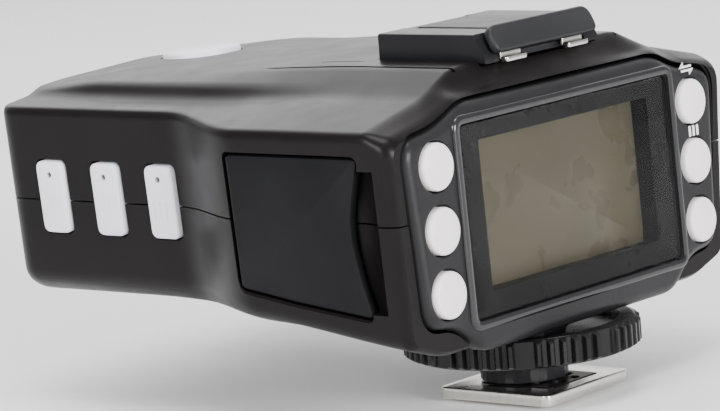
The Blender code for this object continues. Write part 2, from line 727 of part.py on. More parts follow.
def make_shoe():
    floor = SHOE_FLOOR
    top = floor + SLOT_HEIGHT + FLANGE_THICK
    under = floor + SLOT_HEIGHT
    outer, slot, lip = SHOE_HALF, SLOT_HALF, LIP_HALF
    outline = [
        (-outer, floor - 0.8), (outer, floor - 0.8), (outer, top - 0.5), (outer - 0.6, top), (lip, top), (lip, under),
        (slot, under), (slot, floor), (-slot, floor), (-slot, under), (-lip, under), (-lip, top),
        (-outer + 0.6, top), (-outer, top - 0.5),
    ]
    rails = plate("shoe_rails", [[Vector(p) for p in outline]], SHOE_REAR, SHOE_FRONT, SHOE_BLACK)
    place(rails, Matrix(((1, 0, 0, 0), (0, 0, 1, 0), (0, 1, 0, 0), (0, 0, 0, 1))))
    cut(rails, box("spring_room", (-9.5, -9.0, floor - 3), (9.5, -4.3, floor + 6), None, CUTTERS))
    stop = box("shoe_stop", (-slot - 0.4, SHOE_FRONT - 1.2, floor - 0.4), (slot + 0.4, SHOE_FRONT, top - 0.1), None)
    join(rails, stop)
    slant = box("rail_slant", (-20, -6, -9), (20, 0, 9), None, CUTTERS)
    cut(rails, place(slant, Matrix.Translation((0, -3.4, top)) @ Euler((math.radians(-30), 0, 0)).to_matrix().to_4x4()))
    for name, side in (("left_shoe_spring", -1), ("right_shoe_spring", 1)):
        low = min(side * 4.6, side * 9.1)
        spring = box(name, (low, -4.9, floor + 0.25), (low + 4.5, SHOE_FRONT - 1.6, floor + 0.55), CHROME)
        join(spring, box("spring_riser", (low, -5.2, floor - 0.6), (low + 4.5, -4.7, floor + 0.55), None))
        join(spring, box("spring_tab", (low, -6.3, floor - 0.95), (low + 4.5, -4.9, floor - 0.2), None))
    for i, (x, y, radius) in enumerate(CONTACT_PLACES):
        rod(f"shoe_contact_{i + 1}", radius, (x, y, floor + 0.3), (x, y, floor + 0.6), BRASS, sides=14)
    cover = box("shoe_cover", (-9.1, -4.3, floor + 0.75), (9.1, SHOE_FRONT - 1.6, floor + 1.85), RUBBER_BLACK)
    join(cover, box("cover_spine", (-5.9, -4.3, floor + 1.0), (5.9, SHOE_FRONT - 1.6, top + 0.1), None))
    lip_corners = [(-11.2, 0.0, 1.0), (11.2, 0.0, 1.0), (11.2, 3.8, 1.8), (-11.2, 3.8, 1.8)]
    lip_plate = plate("cover_lip", [rounded(lip_corners, 4)], -1.3, 0.0, None)
    lean = Matrix.Translation((0, -6.6, floor + 0.8)) @ Euler((math.radians(63), 0, 0)).to_matrix().to_4x4()
    join(cover, place(lip_plate, lean))
    join(cover, box("cover_neck", (-8.5, -5.8, floor + 0.9), (8.5, -3.0, floor + 1.75), None))
    set_origin(cover, (0, -5.5, floor + 1.3))


# ---------------------------------------------------------------- foot


def wheel_outline():
    """Plan of the locking wheel: groups of ribs with a smooth hollow between the groups."""
    root, tip = WHEEL_RADIUS - 0.75, WHEEL_RADIUS
    points = []
    for g in range(RIB_GROUPS):
        start = math.tau * g / RIB_GROUPS
        for r in range(RIBS_PER_GROUP):
            middle = start + r * RIB_PITCH
            for angle, radius in ((-0.30, root), (-0.18, tip), (0.18, tip), (0.30, root)):
                a = middle + angle * RIB_PITCH
                points.append(Vector((radius * math.cos(a), radius * math.sin(a))))
    return points


def make_wheel():
    wheel = plate("locking_wheel", [wheel_outline(), circle(POST_RADIUS + 0.4, 32)], WHEEL_BOTTOM, WHEEL_TOP, RUBBER_BLACK)
    hollow_profile = [(0, WHEEL_TOP - 1.0), (WHEEL_RADIUS - 3.2, WHEEL_TOP - 1.0), (WHEEL_RADIUS - 2.6, WHEEL_TOP + 1),
                      (0, WHEEL_TOP + 1)]
    cut(wheel, turned("wheel_dish", hollow_profile, None, 32, CUTTERS))
    place(wheel, Matrix.Translation((0, POST_Y, 0)))
    washer = plate("pressure_washer", [circle(8.6, 24), circle(POST_RADIUS + 0.3, 24)],
                   WASHER_BOTTOM, WHEEL_BOTTOM - 0.3, STEEL)
    place(washer, Matrix.Translation((0, POST_Y, 0)))


def make_foot():
    half_width_mm, half_length = FOOT_WIDTH / 2, FOOT_LENGTH / 2
    corner = 1.1
    corners = [(half_width_mm, half_length, corner), (-half_width_mm, half_length, corner),
               (-half_width_mm, -half_length, corner), (half_width_mm, -half_length, corner)]
    window = rectangle(11.0, 12.0, 1.0, (0, -0.9))
    foot = plate("foot_plate", [rounded(corners, 1), window], 0.0, FOOT_THICK, CHROME)
    cut(foot, rod("foot_pin_hole", 1.2, (0, PIN_Y, -1), (0, PIN_Y, 3), None, CUTTERS, 14))
    insert = plate("foot_insert", [rectangle(10.4, 11.4, 0.8, (0, -0.9))], 0.1, FOOT_THICK + 0.1, SHELL_BLACK)
    for i, (x, y, radius) in enumerate(CONTACT_PLACES):
        cut(insert, rod("contact_hole", radius + 0.3, (x, y - 4.0, -1), (x, y - 4.0, 3), None, CUTTERS, 14))
        profile = [(0, -0.5), (radius * 0.6, -0.45), (radius, -0.1), (radius, 1.3), (0, 1.3)]
        place(turned(f"foot_contact_{i + 1}", profile, BRASS, 12), Matrix.Translation((x, y - 4.0, 0)))
    flange = 7.4
    profile = [(0, FOOT_THICK + 0.35), (POST_RADIUS, FOOT_THICK + 0.35), (POST_RADIUS, 15.2), (flange, 15.2),
               (flange, 16.4), (0, 16.4)]
    post = turned("foot_post", profile, SHELL_BLACK, 32)
    place(post, Matrix.Translation((0, POST_Y, 0)))
    cut(post, box("pin_way", (-1.25, PIN_Y - 1.3, 0), (1.25, PIN_Y + 3, 13.0), None, CUTTERS))
    pin = rod("locking_pin", 0.9, (0, PIN_Y, 0.3), (0, PIN_Y, WASHER_BOTTOM - 0.3), STEEL, sides=14)
    set_origin(pin, (0, PIN_Y, 0))


# ---------------------------------------------------------------- power and boards


def make_battery_bay():
    cell_front = CELL_REAR + CELL_LENGTH
    for name, x, flip in (("left_cell", -CELL_X, False), ("right_cell", CELL_X, True)):
        profile = [(0, 0), (CELL_RADIUS - 0.4, 0), (CELL_RADIUS, 0.4), (CELL_RADIUS, CELL_LENGTH - 1.6),
                   (CELL_RADIUS - 0.6, CELL_LENGTH - 1.2), (2.7, CELL_LENGTH - 1.2), (2.7, CELL_LENGTH), (0, CELL_LENGTH)]
        cell = turned(name, profile, CELL_WRAP, 24)
        if flip:
            place(cell, Matrix.Translation((x, cell_front, CELL_Z)) @ Euler((math.pi / 2, 0, 0)).to_matrix().to_4x4())
        else:
            place(cell, Matrix.Translation((x, CELL_REAR, CELL_Z)) @ Euler((-math.pi / 2, 0, 0)).to_matrix().to_4x4())
    tray = box("battery_tray", (-16.4, 10.9, 17.6), (16.4, 64.4, 33.2), SHELL_BLACK)
    hollow = box("tray_hollow", (-15.4, 11.7, 10.0), (15.4, 63.7, 32.2), None, CUTTERS)
    cut(tray, hollow)
    cut(tray, box("tray_hinge_room", (-19, HINGE_Y - 3.4, 10.0), (19, HINGE_Y + 3.4, 19.0), None, CUTTERS))
    for name, x in (("positive_contact", -CELL_X), ("negative_contact", CELL_X)):
        box(name, (x - 4.5, 63.0, 20.5), (x + 4.5, 63.4, 28.9), STEEL)
    box("contact_bridge", (-12.1, 12.0, 20.5), (12.1, 12.4, 28.9), STEEL)


def make_boards():
    board = box("main_board", (-21.0, 2.0, 36.2), (21.0, 50.0, 37.4), BOARD_GREEN)
    join(board, box("board_nose", (-14.0, 49.0, 36.3), (14.0, 60.0, 37.3), None))
    for x, y, w, d, h in ((-8, 22, 9, 9, 1.4), (9, 24, 7, 5, 1.2), (4, 12, 5, 5, 1.0), (-14, 38, 8, 4, 1.6)):
        join(board, box("chip", (x - w / 2, y - d / 2, 37.0), (x + w / 2, y + d / 2, 37.4 + h), None))
    radio = box("radio_module", (7.0, 32.0, 37.7), (19.0, 48.0, 38.6), BOARD_GREEN)
    join(radio, box("radio_can", (8.0, 33.0, 38.4), (18.0, 43.0, 40.4), None))
    join(board, box("test_switch", (-3, 52.6, 37.0), (3, 58.6, 40.0), None))


def make_screws():
    for i, (x, y) in enumerate(SCREW_PLACES):
        seat = wall_foot(y) - 0.4
        profile = [(0, seat - 1.5), (1.9, seat - 1.5), (1.9, seat - 0.2), (1.0, seat - 0.2), (1.0, seat + 14), (0, seat + 14)]
        place(turned(f"case_screw_{i + 1}", profile, STEEL, 12), Matrix.Translation((x, y, 0)))


def make_hinge_pins():
    z = hinge_height()
    for name, side in (("left_hinge_pin", -1), ("right_hinge_pin", 1)):
        start, end = side * (DOOR_HALF - 3.0), side * (DOOR_HALF + 2.0)
        rod(name, 0.35, (start, HINGE_Y, z), (end, HINGE_Y, z), STEEL, sides=12)
        hole = rod("pin_seat", 0.62, (side * (DOOR_HALF - 3.2), HINGE_Y, z), (side * (DOOR_HALF + 1), HINGE_Y, z),
                   None, CUTTERS, 12)
        cut(bpy.data.objects["battery_door"], hole)
    set_origin(bpy.data.objects["battery_door"], (0, HINGE_Y, z))


top_casing, bottom_casing, battery_door = make_casings()
fit_lower(bottom_casing)
fit_upper(top_casing)
cut_sides(top_casing, bottom_casing)
make_panel()
make_panel_keys()
make_group_keys()
make_flap()
make_ports()
make_power_switch()
make_test_key()
make_shoe()
make_wheel()
make_foot()
make_battery_bay()
make_boards()
make_screws()
make_hinge_pins()
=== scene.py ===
"""Looks of the wireless flash trigger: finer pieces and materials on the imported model, in mm here."""

import json
import math

import bmesh
import bpy
from mathutils import Euler, Matrix, Vector


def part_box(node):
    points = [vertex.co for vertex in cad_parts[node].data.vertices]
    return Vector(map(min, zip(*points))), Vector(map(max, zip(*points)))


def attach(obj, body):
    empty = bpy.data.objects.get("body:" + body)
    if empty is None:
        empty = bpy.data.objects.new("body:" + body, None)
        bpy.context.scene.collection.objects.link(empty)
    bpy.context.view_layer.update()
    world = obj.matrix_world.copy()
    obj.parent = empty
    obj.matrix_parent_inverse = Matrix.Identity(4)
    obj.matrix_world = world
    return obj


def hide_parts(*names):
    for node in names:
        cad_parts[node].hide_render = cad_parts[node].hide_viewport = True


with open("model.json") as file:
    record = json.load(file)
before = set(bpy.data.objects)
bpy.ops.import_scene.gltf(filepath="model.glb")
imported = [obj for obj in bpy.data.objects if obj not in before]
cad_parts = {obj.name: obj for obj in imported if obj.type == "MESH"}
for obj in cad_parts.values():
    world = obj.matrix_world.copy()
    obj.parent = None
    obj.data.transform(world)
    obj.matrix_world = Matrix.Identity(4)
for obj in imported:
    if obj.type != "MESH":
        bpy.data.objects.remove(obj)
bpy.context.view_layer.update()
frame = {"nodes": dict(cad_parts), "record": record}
NODES = frame["nodes"]
BODY_OF = {n: b for b, ns in frame["record"]["behaviour"]["bodies"].items() for n in ns}
SLOT_OF = {s["node"]: s["material_slot"] for s in frame["record"]["subparts"]}
MM = 0.001

# ------------------------------------------------------------ sizes, in mm, as the solids have them


def low(node):
    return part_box(node)[0] / MM


def high(node):
    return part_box(node)[1] / MM


SEAM_Z = (high("bottom_casing").z + low("top_casing").z) / 2
REAR_Y = low("top_casing").y
FRONT_Y = high("top_casing").y
REAR_HALF = high("top_casing").x + 0.11
NOSE_HALF = 30.8
NOSE_RADIUS = 4.0
NOSE_EDGE = 1.4
WAIST_START, WAIST_END = 17.5, 35.5
DRAFT = math.tan(math.radians(4.3))
WALL = 2.2
FACE_Y, FACE_Z = -8.85, 27.1
FACE_TILT = math.radians(2.0)
PANEL_THICK = 3.0
PANEL_GAP = 0.45
LENS_SIZE = (46.0, 25.2)
KEY_X, KEY_PITCH, KEY_RADIUS = 28.5, 8.29, 3.1
GROUP_KEY_Y = (37.7, 47.7, 57.9)
GROUP_KEY_Z = 29.3
GROUP_KEY_SIZE = (5.0, 10.1)
TEST_KEY_Y = (low("test_key").y + high("test_key").y) / 2 + 0.1
TEST_KEY_RADIUS = 5.6
TEST_KEY_TILT = math.radians(-4.0)
POST_Y = (low("locking_wheel").y + high("locking_wheel").y) / 2
WHEEL_RADIUS = high("locking_wheel").x
WHEEL_BOTTOM, WHEEL_TOP = low("locking_wheel").z, high("locking_wheel").z
FLAP_FRONT = 19.9
FLAP_THICK = 1.3
FLAP_TOP_Z = 37.4
SHOE_FLOOR = 47.0
SHOE_FRONT, SHOE_REAR = high("shoe_rails").y, low("shoe_rails").y
DOOR_HALF = high("battery_door").x
DOOR_REAR = low("battery_door").y
HINGE_Y = 62.3
FIT = 0.35

# ------------------------------------------------------------ mesh helpers

CUTTERS = []


def smoothstep(value, start, end):
    t = min(max((value - start) / (end - start), 0.0), 1.0)
    return t * t * (3 - 2 * t)


def mix(a, b, t):
    return a + (b - a) * t


def rounded(corners, steps=6):
    points = []
    count = len(corners)
    for i, (x, y, radius) in enumerate(corners):
        here = Vector((x, y))
        before = Vector(corners[i - 1][:2]) - here
        after = Vector(corners[(i + 1) % count][:2]) - here
        if radius <= 0:
            points.append(here)
            continue
        reach = min(radius, 0.49 * before.length, 0.49 * after.length)
        first = here + before.normalized() * reach
        last = here + after.normalized() * reach
        for k in range(steps + 1):
            t = k / steps
            points.append(first * (1 - t) ** 2 + here * 2 * t * (1 - t) + last * t * t)
    return points


def rectangle(width, height, radius, centre=(0, 0), steps=6):
    x, y = width / 2, height / 2
    corners = [(x, y), (-x, y), (-x, -y), (x, -y)]
    return rounded([(centre[0] + a, centre[1] + b, radius) for a, b in corners], steps)


def circle(radius, sides=64, centre=(0, 0)):
    turn = [math.tau * i / sides for i in range(sides)]
    return [Vector((centre[0] + radius * math.cos(a), centre[1] + radius * math.sin(a))) for a in turn]


def grow(points, distance):
    area = sum(a.x * b.y - b.x * a.y for a, b in zip(points, points[1:] + points[:1]))
    side = 1.0 if area > 0 else -1.0
    moved = []
    for i, here in enumerate(points):
        a = (here - points[i - 1]).normalized()
        b = (points[(i + 1) % len(points)] - here).normalized()
        normal = Vector((a.y + b.y, -a.x - b.x)) * side
        scale = max(normal.length_squared / 2, 0.5)
        moved.append(here + normal * distance / scale)
    return moved


def to_object(name, bm, matrix=None, cutter=False):
    bmesh.ops.recalc_face_normals(bm, faces=bm.faces)
    if matrix is not None:
        bmesh.ops.transform(bm, matrix=matrix, verts=bm.verts)
    bmesh.ops.scale(bm, vec=(MM, MM, MM), verts=bm.verts)
    bmesh.ops.recalc_face_normals(bm, faces=bm.faces)
    mesh = bpy.data.meshes.new(name)
    bm.to_mesh(mesh)
    bm.free()
    made = bpy.data.objects.new(name, mesh)
    bpy.context.scene.collection.objects.link(made)
    if cutter:
        made.hide_render = True
        CUTTERS.append(made)
    return made


def prism(name, outline, levels, matrix=None, cutter=False):
    """A closed solid on an outline: levels are (height, growth) pairs from one end to the other."""
    bm = bmesh.new()
    rings = []
    for height, growth in levels:
        points = grow(outline, growth) if growth else outline
        rings.append([bm.verts.new((p.x, p.y, height)) for p in points])
    for a, b in zip(rings, rings[1:]):
        for i in range(len(a)):
            j = (i + 1) % len(a)
            bm.faces.new((a[i], a[j], b[j], b[i]))
    bm.faces.new(rings[0])
    bm.faces.new(rings[-1])
    return to_object(name, bm, matrix, cutter)


def rounded_levels(bottom, top, radius, steps=4):
    """Levels of a slab whose outer edges are rounded."""
    turns = [math.pi / 2 * i / steps for i in range(steps + 1)]
    levels = [(bottom + radius * (1 - math.cos(a)), -radius * (1 - math.sin(a))) for a in turns]
    levels += [(top - radius * (1 - math.cos(a)), -radius * (1 - math.sin(a))) for a in reversed(turns)]
    return levels


def box(name, a, b, matrix=None, cutter=False, radius=0.0):
    a, b = Vector(a), Vector(b)
    middle = (a + b) / 2
    outline = rectangle(b.x - a.x, b.y - a.y, max(2.2 * radius, 0.02), (middle.x, middle.y), 4)
    levels = rounded_levels(a.z, b.z, radius, 3) if radius else [(a.z, 0), (b.z, 0)]
    return prism(name, outline, levels, matrix, cutter)


def lathe(name, profile, steps=96, matrix=None, cutter=False):
    """A solid of revolution about Z; the profile runs from the axis to the axis."""
    bm = bmesh.new()
    rings = []
    for r, z in profile:
        if r < 1e-6:
            rings.append([bm.verts.new((0, 0, z))])
            continue
        turns = [math.tau * i / steps for i in range(steps)]
        rings.append([bm.verts.new((r * math.cos(a), r * math.sin(a), z)) for a in turns])
    for a, b in zip(rings, rings[1:]):
        for i in range(steps):
            j = (i + 1) % steps
            ring = [a[i % len(a)], a[j % len(a)], b[j % len(b)], b[i % len(b)]]
            corners = list(dict.fromkeys(ring))
            if len(corners) > 2:
                bm.faces.new(corners)
    return to_object(name, bm, matrix, cutter)


def rod(name, radius, start, end, cutter=True, sides=48):
    start, end = Vector(start), Vector(end)
    turn = Vector((0, 0, 1)).rotation_difference(end - start).to_matrix().to_4x4()
    length = (end - start).length
    profile = [(0, 0), (radius, 0), (radius, length), (0, length)]
    return lathe(name, profile, sides, Matrix.Translation(start) @ turn, cutter)


def moved(obj, matrix):
    scaled = matrix.copy()
    scaled.translation = matrix.translation * MM
    obj.data.transform(scaled)
    return obj


def boolean(obj, cutter, operation="DIFFERENCE"):
    modifier = obj.modifiers.new(operation, "BOOLEAN")
    modifier.operation = operation
    modifier.object = cutter
    modifier.solver = "EXACT"
    graph = bpy.context.evaluated_depsgraph_get()
    graph.update()
    mesh = bpy.data.meshes.new_from_object(obj.evaluated_get(graph))
    obj.modifiers.clear()
    obj.data = mesh
    return obj


def cut(obj, *cutters):
    for cutter in cutters:
        boolean(obj, cutter)
    return obj


def join(obj, *others):
    for other in others:
        boolean(obj, other, "UNION")
        bpy.data.objects.remove(other)
    return obj


def flared(name, outline, depth, flare=0.22, top=4.0, matrix=None):
    """A cutter for an opening whose edge is broken by a small flare at the surface."""
    levels = [(-depth, 0.0), (-flare, 0.0), (-flare * 0.35, flare * 0.3)]
    levels += [(flare * 0.6, flare * 1.3), (top, flare * 1.3)]
    return prism(name, outline, levels, matrix, cutter=True)


def smooth(obj, angle=32.0):
    obj.data.shade_smooth()
    obj.data.set_sharp_from_angle(angle=math.radians(angle))
    return obj


# ------------------------------------------------------------ casing form


def half_width(y):
    return mix(REAR_HALF, NOSE_HALF, smoothstep(y, WAIST_START, WAIST_END))


def wall_top(y):
    return mix(40.7, 41.7, smoothstep(y, WAIST_START, WAIST_END))


def wall_foot(y):
    return 12.3 + 4.2 * smoothstep(y, -16.0, 26.0) + 0.9 * smoothstep(y, 20.0, 44.0)


def wall_x(y, z):
    return half_width(y) - (wall_top(y) - z) * DRAFT


def roof_height(y):
    deck = 46.9 - 0.7 * smoothstep(y, 10.0, 36.0)
    return deck - 1.0 * smoothstep(y, 30.0, 60.0) - 0.9 * smoothstep(y, 56.0, 70.0)


def section(y, inset, steps=9):
    top = wall_top(y)
    foot = wall_foot(y)
    nose = smoothstep(y, 8.0, 34.0)
    hood = 1.0 - smoothstep(y, REAR_Y, -3.6)
    chamfer = mix(7.2, 3.3, nose)
    ridge = mix(44.4, 43.4, smoothstep(y, 54.0, 67.0)) - 1.2 * hood
    crease = mix(43.5, 42.4, nose) - 2.3 * hood
    roof = mix(roof_height(y), 43.4, hood)
    deck = mix(mix(roof - 0.3, ridge + 0.4, smoothstep(y, 24.0, 62.0)), 43.3, hood)
    corners = [
        (0.0, foot - 2.3, 2.0),
        (wall_x(y, foot) - chamfer, foot - 2.3, 2.0),
        (wall_x(y, foot), foot, 1.6),
        (wall_x(y, top) - 0.4 * hood, top - 0.9 * hood, mix(1.3, 2.4, hood)),
        (mix(25.2, 27.3, hood), crease, mix(1.6, 2.5, hood)),
        (mix(23.0, 22.4, hood), ridge, 1.1),
        (18.0, deck, 1.5),
        (0.0, roof, 2.0),
    ]
    whole = corners + [(-x, z, radius) for x, z, radius in reversed(corners[1:-1])]
    points = grow([Vector(corner[:2]) for corner in whole], -inset)
    drawn = [(p.x, p.y, max(corner[2] - inset / 3, 0.3)) for p, corner in zip(points, whole)]
    return rounded(drawn, steps)


def rounding(distance, radius):
    if distance >= radius:
        return 0.0
    return radius - math.sqrt(radius**2 - (radius - distance) ** 2)


def nose_section(y, inset_x, inset_z):
    outline = section(y, 0)
    middle = 29.5
    wide = max(p.x for p in outline)
    tall = max(abs(p.y - middle) for p in outline)
    scale_x = 1 - inset_x / wide
    scale_z = 1 - inset_z / tall
    return [Vector((p.x * scale_x, middle + (p.y - middle) * scale_z)) for p in outline]


def loft(name, stations, cutter=False):
    bm = bmesh.new()
    rings = [[bm.verts.new((p.x, y, p.y)) for p in outline] for y, outline in stations]
    for a, b in zip(rings, rings[1:]):
        for i in range(len(a)):
            j = (i + 1) % len(a)
            bm.faces.new((a[i], a[j], b[j], b[i]))
    bm.faces.new(rings[0])
    bm.faces.new(list(reversed(rings[-1])))
    bmesh.ops.triangulate(bm, faces=bm.faces)
    return to_object(name, bm, None, cutter)


def outer_form(name):
    ys = [REAR_Y + 0.25 * i for i in range(20)]
    y = ys[-1] + 1.0
    while y < FRONT_Y - NOSE_RADIUS:
        ys.append(y)
        y += 0.9 if WAIST_START - 2 < y < WAIST_END + 2 else 2.0
    ys += [FRONT_Y - NOSE_RADIUS * (1 - math.sin(math.pi / 2 * i / 14)) for i in range(14)]
    stations = []
    for y in ys:
        if y > FRONT_Y - NOSE_RADIUS:
            plan = rounding(FRONT_Y - y, NOSE_RADIUS)
            edge = rounding(FRONT_Y - y, NOSE_EDGE)
            stations.append((y, nose_section(y, plan, edge)))
        else:
            stations.append((y, section(y, rounding(y - REAR_Y + 0.4, 2.0))))
    stations.append((FRONT_Y, nose_section(FRONT_Y, NOSE_RADIUS - 0.3, NOSE_EDGE)))
    return loft(name, stations)


def inner_form(name):
    stations = [(y, section(y, WALL, 3)) for y in (-6.6, -3.6, 8.0, 18.0, 22.6, 27.2, 33.0, 46.0, 61.4)]
    last = FRONT_Y - WALL
    stations.append((last - 2.0, [Vector((p.x * 0.95, p.y)) for p in section(last - 2.0, WALL, 3)]))
    stations.append((last, [Vector((p.x * 0.86, p.y)) for p in section(last, WALL + 0.5, 3)]))
    return loft(name, stations, True)


# ------------------------------------------------------------ local frames


def face_frame(x=0.0, z=0.0, depth=0.0):
    turn = Euler((math.pi / 2 - FACE_TILT, 0, 0)).to_matrix().to_4x4()
    return Matrix.Translation((0, FACE_Y, FACE_Z)) @ turn @ Matrix.Translation((x, z, -depth))


def wall_frame(y, z, depth=0.0, side=-1):
    slope = math.atan(DRAFT)
    outward = Vector((side * math.cos(slope), 0, -math.sin(slope)))
    up = Vector((side * math.sin(slope), 0, math.cos(slope)))
    along = up.cross(outward)
    origin = Vector((side * wall_x(y, z), y, z)) - outward * depth
    matrix = Matrix((along, up, outward)).transposed().to_4x4()
    matrix.translation = origin
    return matrix


def roof_frame(y, z, tilt, depth=0.0):
    turn = Euler((tilt, 0, 0)).to_matrix().to_4x4()
    return Matrix.Translation((0, y, z)) @ turn @ Matrix.Translation((0, 0, -depth))


def flap_frame():
    return wall_frame(FLAP_FRONT, FLAP_TOP_Z)


def panel_outline(steps=8):
    right = [
        (21.6, 42.7, 2.0), (27.2, 40.2, 3.0), (34.6, 39.3, 3.2), (32.5, 14.6, 3.4),
        (26.2, 14.2, 3.0), (21.5, 9.9, 2.2),
    ]
    corners = right + [(-x, z, r) for x, z, r in reversed(right)]
    return list(reversed(rounded([(x, z - FACE_Z, r) for x, z, r in corners], steps)))


def flap_outline(extra=0.0):
    corners = [
        (0.0, 0.0, 0.6), (0.0, -17.9, 1.2), (9.6, -19.4, 1.5), (22.0, -20.9, 0.8),
        (20.6, -16.0, 2.0), (19.6, -9.0, 4.0), (22.4, 0.0, 1.0),
    ]
    outline = rounded(corners, 6)
    return grow(outline, extra) if extra else outline


def key_places():
    rows = (("top", KEY_PITCH), ("middle", 0.0), ("bottom", -KEY_PITCH))
    for side, x in (("left", -KEY_X), ("right", KEY_X)):
        for row, height in rows:
            yield f"{side}_{row}_key", x, height


# ------------------------------------------------------------ materials


class Paint:
    """A node material built on one Principled shader."""

    def __init__(self, name, colour, roughness, metallic=0.0, **sockets):
        self.made = bpy.data.materials.new(name)
        self.made.use_nodes = True
        self.tree = self.made.node_tree
        self.shader = self.tree.nodes["Principled BSDF"]
        self.set("Base Color", (*colour, 1.0))
        self.set("Roughness", roughness)
        self.set("Metallic", metallic)
        for key, value in sockets.items():
            self.set(key.replace("_", " "), value)
        self.where = self.tree.nodes.new("ShaderNodeTexCoord")

    def set(self, key, value):
        self.shader.inputs[key].default_value = value

    def noise(self, scale, detail=4.0, rough=0.55, stretch=(1, 1, 1)):
        mapping = self.tree.nodes.new("ShaderNodeMapping")
        mapping.inputs["Scale"].default_value = stretch
        node = self.tree.nodes.new("ShaderNodeTexNoise")
        node.inputs["Scale"].default_value = scale
        node.inputs["Detail"].default_value = detail
        node.inputs["Roughness"].default_value = rough
        self.tree.links.new(self.where.outputs["Object"], mapping.inputs["Vector"])
        self.tree.links.new(mapping.outputs["Vector"], node.inputs["Vector"])
        return node.outputs["Fac"]

    def cells(self, scale):
        node = self.tree.nodes.new("ShaderNodeTexVoronoi")
        node.inputs["Scale"].default_value = scale
        self.tree.links.new(self.where.outputs["Object"], node.inputs["Vector"])
        return node.outputs["Distance"]

    def ramp(self, source, first, second, start=0.35, end=0.65):
        node = self.tree.nodes.new("ShaderNodeValToRGB")
        node.color_ramp.elements[0].position = start
        node.color_ramp.elements[1].position = end
        node.color_ramp.elements[0].color = first if len(first) == 4 else (*first, 1)
        node.color_ramp.elements[1].color = second if len(second) == 4 else (*second, 1)
        self.tree.links.new(source, node.inputs["Fac"])
        return node.outputs["Color"]

    def colour(self, source, first, second, start=0.3, end=0.7):
        self.tree.links.new(self.ramp(source, first, second, start, end), self.shader.inputs["Base Color"])
        return self

    def rough(self, source, least, most, start=0.3, end=0.7):
        grey = self.ramp(source, (least,) * 3, (most,) * 3, start, end)
        self.tree.links.new(grey, self.shader.inputs["Roughness"])
        return self

    def bump(self, source, strength, distance):
        node = self.tree.nodes.new("ShaderNodeBump")
        node.inputs["Strength"].default_value = strength
        node.inputs["Distance"].default_value = distance
        previous = self.shader.inputs["Normal"]
        if previous.is_linked:
            self.tree.links.new(previous.links[0].from_socket, node.inputs["Normal"])
        self.tree.links.new(source, node.inputs["Height"])
        self.tree.links.new(node.outputs["Normal"], previous)
        return self


def moulded(name, dark, light, least, most, grain=1500.0, depth=0.00002, strength=0.35, **sockets):
    """Moulded plastic: fine spark-eroded grain, faint mottling and worn gloss."""
    paint = Paint(name, dark, least, **sockets)
    paint.colour(paint.noise(60, 3), dark, light)
    paint.rough(paint.noise(180, 5), least, most)
    paint.bump(paint.noise(grain, 3, 0.6), strength, depth)
    return paint.made


def metal(name, dark, light, least, most, stretch=(1, 1, 1), depth=0.000006):
    paint = Paint(name, dark, least, 1.0)
    paint.colour(paint.noise(300, 4, 0.6, stretch), dark, light)
    paint.rough(paint.noise(700, 4, 0.6, stretch), least, most)
    paint.bump(paint.noise(1800, 3, 0.6, stretch), 0.3, depth)
    return paint.made


SHELL = moulded("shell_black", (0.0042, 0.0032, 0.0036), (0.0060, 0.0046, 0.0050),
                0.30, 0.38, 2200, 0.00001, 0.3, Specular_IOR_Level=0.13)
PANEL = moulded("panel_grey", (0.010, 0.010, 0.011), (0.015, 0.0145, 0.016), 0.32, 0.42, 1900, 0.00004, 0.6,
                Specular_IOR_Level=0.20)
RIM = moulded("window_rim", (0.010, 0.010, 0.011), (0.014, 0.013, 0.015), 0.14, 0.20, 1500, 0.00001, 0.2)
WHITE = moulded("key_white", (0.80, 0.74, 0.76), (0.86, 0.80, 0.82), 0.38, 0.48, 900, 0.00001, 0.2,
                Subsurface_Weight=0.12, Subsurface_Scale=0.0008)
WHITE_SIDE = moulded("group_key_white", (0.78, 0.77, 0.86), (0.84, 0.83, 0.91), 0.36, 0.46, 900, 0.00001, 0.2,
                     Subsurface_Weight=0.12, Subsurface_Scale=0.0008)
RUBBER = moulded("flap_black", (0.0055, 0.0055, 0.0065), (0.0085, 0.0085, 0.0100),
                 0.40, 0.52, 1400, 0.00003, 0.5, Specular_IOR_Level=0.10)
WHEEL = moulded("wheel_black", (0.005, 0.005, 0.0055), (0.008, 0.008, 0.0085), 0.20, 0.30, 1300, 0.00001, 0.3,
                Specular_IOR_Level=0.22)
COVER = moulded("cover_grey", (0.012, 0.012, 0.014), (0.018, 0.018, 0.020), 0.38, 0.48, 1500, 0.00002, 0.5,
                Specular_IOR_Level=0.22)
SHOE = moulded("shoe_black", (0.007, 0.007, 0.0085), (0.011, 0.011, 0.013), 0.30, 0.38, 2000, 0.00001, 0.3,
               Specular_IOR_Level=0.18)
BORDER = moulded("window_border", (0.003, 0.003, 0.0035), (0.004, 0.004, 0.0045),
                 0.22, 0.30, 400, 0.000002, 0.1, Specular_IOR_Level=0.05)
ICON = moulded("printed_white", (0.75, 0.73, 0.74), (0.82, 0.80, 0.81), 0.5, 0.6, 1500, 0.000005, 0.2)
DARK = moulded("light_hole", (0.03, 0.028, 0.035), (0.05, 0.045, 0.055), 0.3, 0.4, 1500, 0.000005, 0.2)
BOARD = moulded("board_green", (0.010, 0.060, 0.028), (0.016, 0.090, 0.040), 0.35, 0.5, 700, 0.00002, 0.4)
CELL = moulded("cell_wrap", (0.10, 0.105, 0.13), (0.14, 0.145, 0.17), 0.2, 0.3, 500, 0.000005, 0.2)
NICKEL = metal("nickel", (0.62, 0.59, 0.55), (0.78, 0.75, 0.71), 0.14, 0.26, (1, 6, 1))
STEEL = metal("steel", (0.45, 0.45, 0.46), (0.60, 0.60, 0.61), 0.24, 0.38)
GOLD = metal("contact_gold", (0.70, 0.52, 0.22), (0.85, 0.66, 0.32), 0.16, 0.26)


